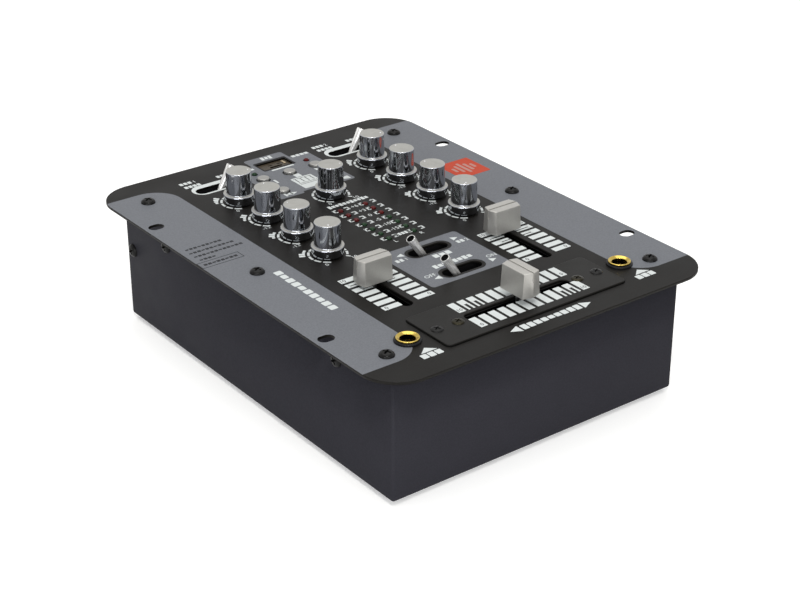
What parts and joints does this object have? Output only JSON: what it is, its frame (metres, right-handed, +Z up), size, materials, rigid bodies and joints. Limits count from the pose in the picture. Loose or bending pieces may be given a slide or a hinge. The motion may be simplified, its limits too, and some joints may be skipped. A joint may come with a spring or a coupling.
{
  "type": "dj mixer",
  "caption": "Compact tabletop DJ mixer with channel faders, crossfader, chrome knobs, toggle switches, level meter and a media player panel.",
  "frame": {"origin": "on the table under the middle of the top panel, level with the feet", "axes": "+X to the user's right, +Y from the user to the rear connections, +Z up through the top panel"},
  "size_m": [0.21, 0.275, 0.0941],
  "materials": {
    "painted_steel": "satin powder paint",
    "panel_paint": "matt paint with printed grey fields",
    "chromed_plastic": "bright chrome plating on moulded plastic",
    "chrome": "bright chrome",
    "satin_cap": "satin silver paint",
    "black_screw": "black oxide",
    "brass_screw": "dull yellow plating",
    "gold": "polished gold plating",
    "black_plastic": "moulded",
    "circuit_board": "green solder mask",
    "zinc_plate": "zinc plated",
    "rubber": "matt"
  },
  "bodies": {
    "housing": {"chassis_pan": "painted_steel", "top_panel": "panel_paint", "crossfader_plate": "panel_paint", "panel_screw_1": "black_screw", "panel_screw_2": "black_screw", "panel_screw_3": "black_screw", "panel_screw_4": "black_screw", "panel_screw_5": "black_screw", "panel_screw_6": "black_screw", "left_plate_screw": "black_screw", "left_fader_screw": "brass_screw", "right_plate_screw": "black_screw", "right_fader_screw": "brass_screw", "left_pot_board": "circuit_board", "right_pot_board": "circuit_board", "meter_board": "circuit_board", "left_fader_body": "zinc_plate", "right_fader_body": "zinc_plate", "crossfader_body": "zinc_plate", "left_source_switch": "black_plastic", "right_source_switch": "black_plastic", "cue_switch_block": "black_plastic", "player_board": "circuit_board", "media_socket": "zinc_plate", "mic_jack": "gold", "mic_jack_ring": "black_plastic", "phones_jack": "gold", "phones_jack_ring": "black_plastic", "left_front_foot": "rubber", "left_rear_foot": "rubber", "right_front_foot": "rubber", "right_rear_foot": "rubber", "main_board": "circuit_board", "rear_socket_board": "black_plastic", "ground_terminal": "zinc_plate", "power_inlet": "black_plastic"},
    "left_gain": {"left_gain_knob": "chromed_plastic"},
    "left_high": {"left_high_knob": "chromed_plastic"},
    "left_mid": {"left_mid_knob": "chromed_plastic"},
    "left_low": {"left_low_knob": "chromed_plastic"},
    "right_gain": {"right_gain_knob": "chromed_plastic"},
    "right_high": {"right_high_knob": "chromed_plastic"},
    "right_mid": {"right_mid_knob": "chromed_plastic"},
    "right_low": {"right_low_knob": "chromed_plastic"},
    "master": {"master_knob": "chromed_plastic"},
    "left_fader": {"left_fader_slider": "black_plastic", "left_fader_cap": "satin_cap"},
    "right_fader": {"right_fader_slider": "black_plastic", "right_fader_cap": "satin_cap"},
    "crossfader": {"crossfader_slider": "black_plastic", "crossfader_cap": "satin_cap"},
    "left_source": {"left_source_lever": "chrome"},
    "right_source": {"right_source_lever": "chrome"},
    "cue": {"cue_lever": "chrome"},
    "takeover": {"takeover_lever": "chrome"},
    "previous": {"previous_button": "satin_cap"},
    "play": {"play_button": "satin_cap"},
    "next": {"next_button": "satin_cap"},
    "repeat": {"repeat_button": "satin_cap"},
    "stop": {"stop_button": "satin_cap"}
  },
  "joints": [
    {"name": "left_gain_turn", "type": "hinge", "parent": "housing", "child": "left_gain", "pos_m": [-0.0444, 0.08, 0.075], "axis": [0, 0, 1], "range_deg": [-36, 264]},
    {"name": "left_high_turn", "type": "hinge", "parent": "housing", "child": "left_high", "pos_m": [-0.0444, 0.0518, 0.075], "axis": [0, 0, 1], "range_deg": [-136, 164]},
    {"name": "left_mid_turn", "type": "hinge", "parent": "housing", "child": "left_mid", "pos_m": [-0.0444, 0.0236, 0.075], "axis": [0, 0, 1], "range_deg": [-186, 114]},
    {"name": "left_low_turn", "type": "hinge", "parent": "housing", "child": "left_low", "pos_m": [-0.0444, -0.0046, 0.075], "axis": [0, 0, 1], "range_deg": [-300, 0]},
    {"name": "right_gain_turn", "type": "hinge", "parent": "housing", "child": "right_gain", "pos_m": [0.0466, 0.08, 0.075], "axis": [0, 0, 1], "range_deg": [-29, 271]},
    {"name": "right_high_turn", "type": "hinge", "parent": "housing", "child": "right_high", "pos_m": [0.0466, 0.0518, 0.075], "axis": [0, 0, 1], "range_deg": [-155, 145]},
    {"name": "right_mid_turn", "type": "hinge", "parent": "housing", "child": "right_mid", "pos_m": [0.0466, 0.0236, 0.075], "axis": [0, 0, 1], "range_deg": [-170, 130]},
    {"name": "right_low_turn", "type": "hinge", "parent": "housing", "child": "right_low", "pos_m": [0.0466, -0.0046, 0.075], "axis": [0, 0, 1], "range_deg": [-300, 0]},
    {"name": "master_turn", "type": "hinge", "parent": "housing", "child": "master", "pos_m": [0.0011, 0.057, 0.075], "axis": [0, 0, 1], "range_deg": [-30, 270]},
    {"name": "left_fader_slide", "type": "slide", "parent": "housing", "child": "left_fader", "axis": [0, 1, 0], "range_m": [-0.0263, 0.0102]},
    {"name": "right_fader_slide", "type": "slide", "parent": "housing", "child": "right_fader", "axis": [0, 1, 0], "range_m": [-0.0336, 0.0029]},
    {"name": "crossfader_slide", "type": "slide", "parent": "housing", "child": "crossfader", "axis": [1, 0, 0], "range_m": [-0.0311, 0.0289]},
    {"name": "left_source_tilt", "type": "hinge", "parent": "housing", "child": "left_source", "pos_m": [-0.0444, 0.10535, 0.0665], "axis": [0, 1, 0], "range_deg": [-59, 0]},
    {"name": "right_source_tilt", "type": "hinge", "parent": "housing", "child": "right_source", "pos_m": [0.0466, 0.10535, 0.0665], "axis": [0, 1, 0], "range_deg": [-59, 0]},
    {"name": "cue_tilt", "type": "hinge", "parent": "housing", "child": "cue", "pos_m": [0.0011, -0.031, 0.0679], "axis": [0, 1, 0], "range_deg": [0, 70]},
    {"name": "takeover_tilt", "type": "hinge", "parent": "housing", "child": "takeover", "pos_m": [0.0011, -0.0594, 0.0679], "axis": [0, 1, 0], "range_deg": [0, 70]},
    {"name": "previous_press", "type": "slide", "parent": "housing", "child": "previous", "axis": [0, 0, -1], "range_m": [0, 0.0005], "stiffness_N_per_m": 400, "springref_m": -0.0005},
    {"name": "play_press", "type": "slide", "parent": "housing", "child": "play", "axis": [0, 0, -1], "range_m": [0, 0.0005], "stiffness_N_per_m": 400, "springref_m": -0.0005},
    {"name": "next_press", "type": "slide", "parent": "housing", "child": "next", "axis": [0, 0, -1], "range_m": [0, 0.0005], "stiffness_N_per_m": 400, "springref_m": -0.0005},
    {"name": "repeat_press", "type": "slide", "parent": "housing", "child": "repeat", "axis": [0, 0, -1], "range_m": [0, 0.0005], "stiffness_N_per_m": 400, "springref_m": -0.0005},
    {"name": "stop_press", "type": "slide", "parent": "housing", "child": "stop", "axis": [0, 0, -1], "range_m": [0, 0.0005], "stiffness_N_per_m": 400, "springref_m": -0.0005}
  ]
}
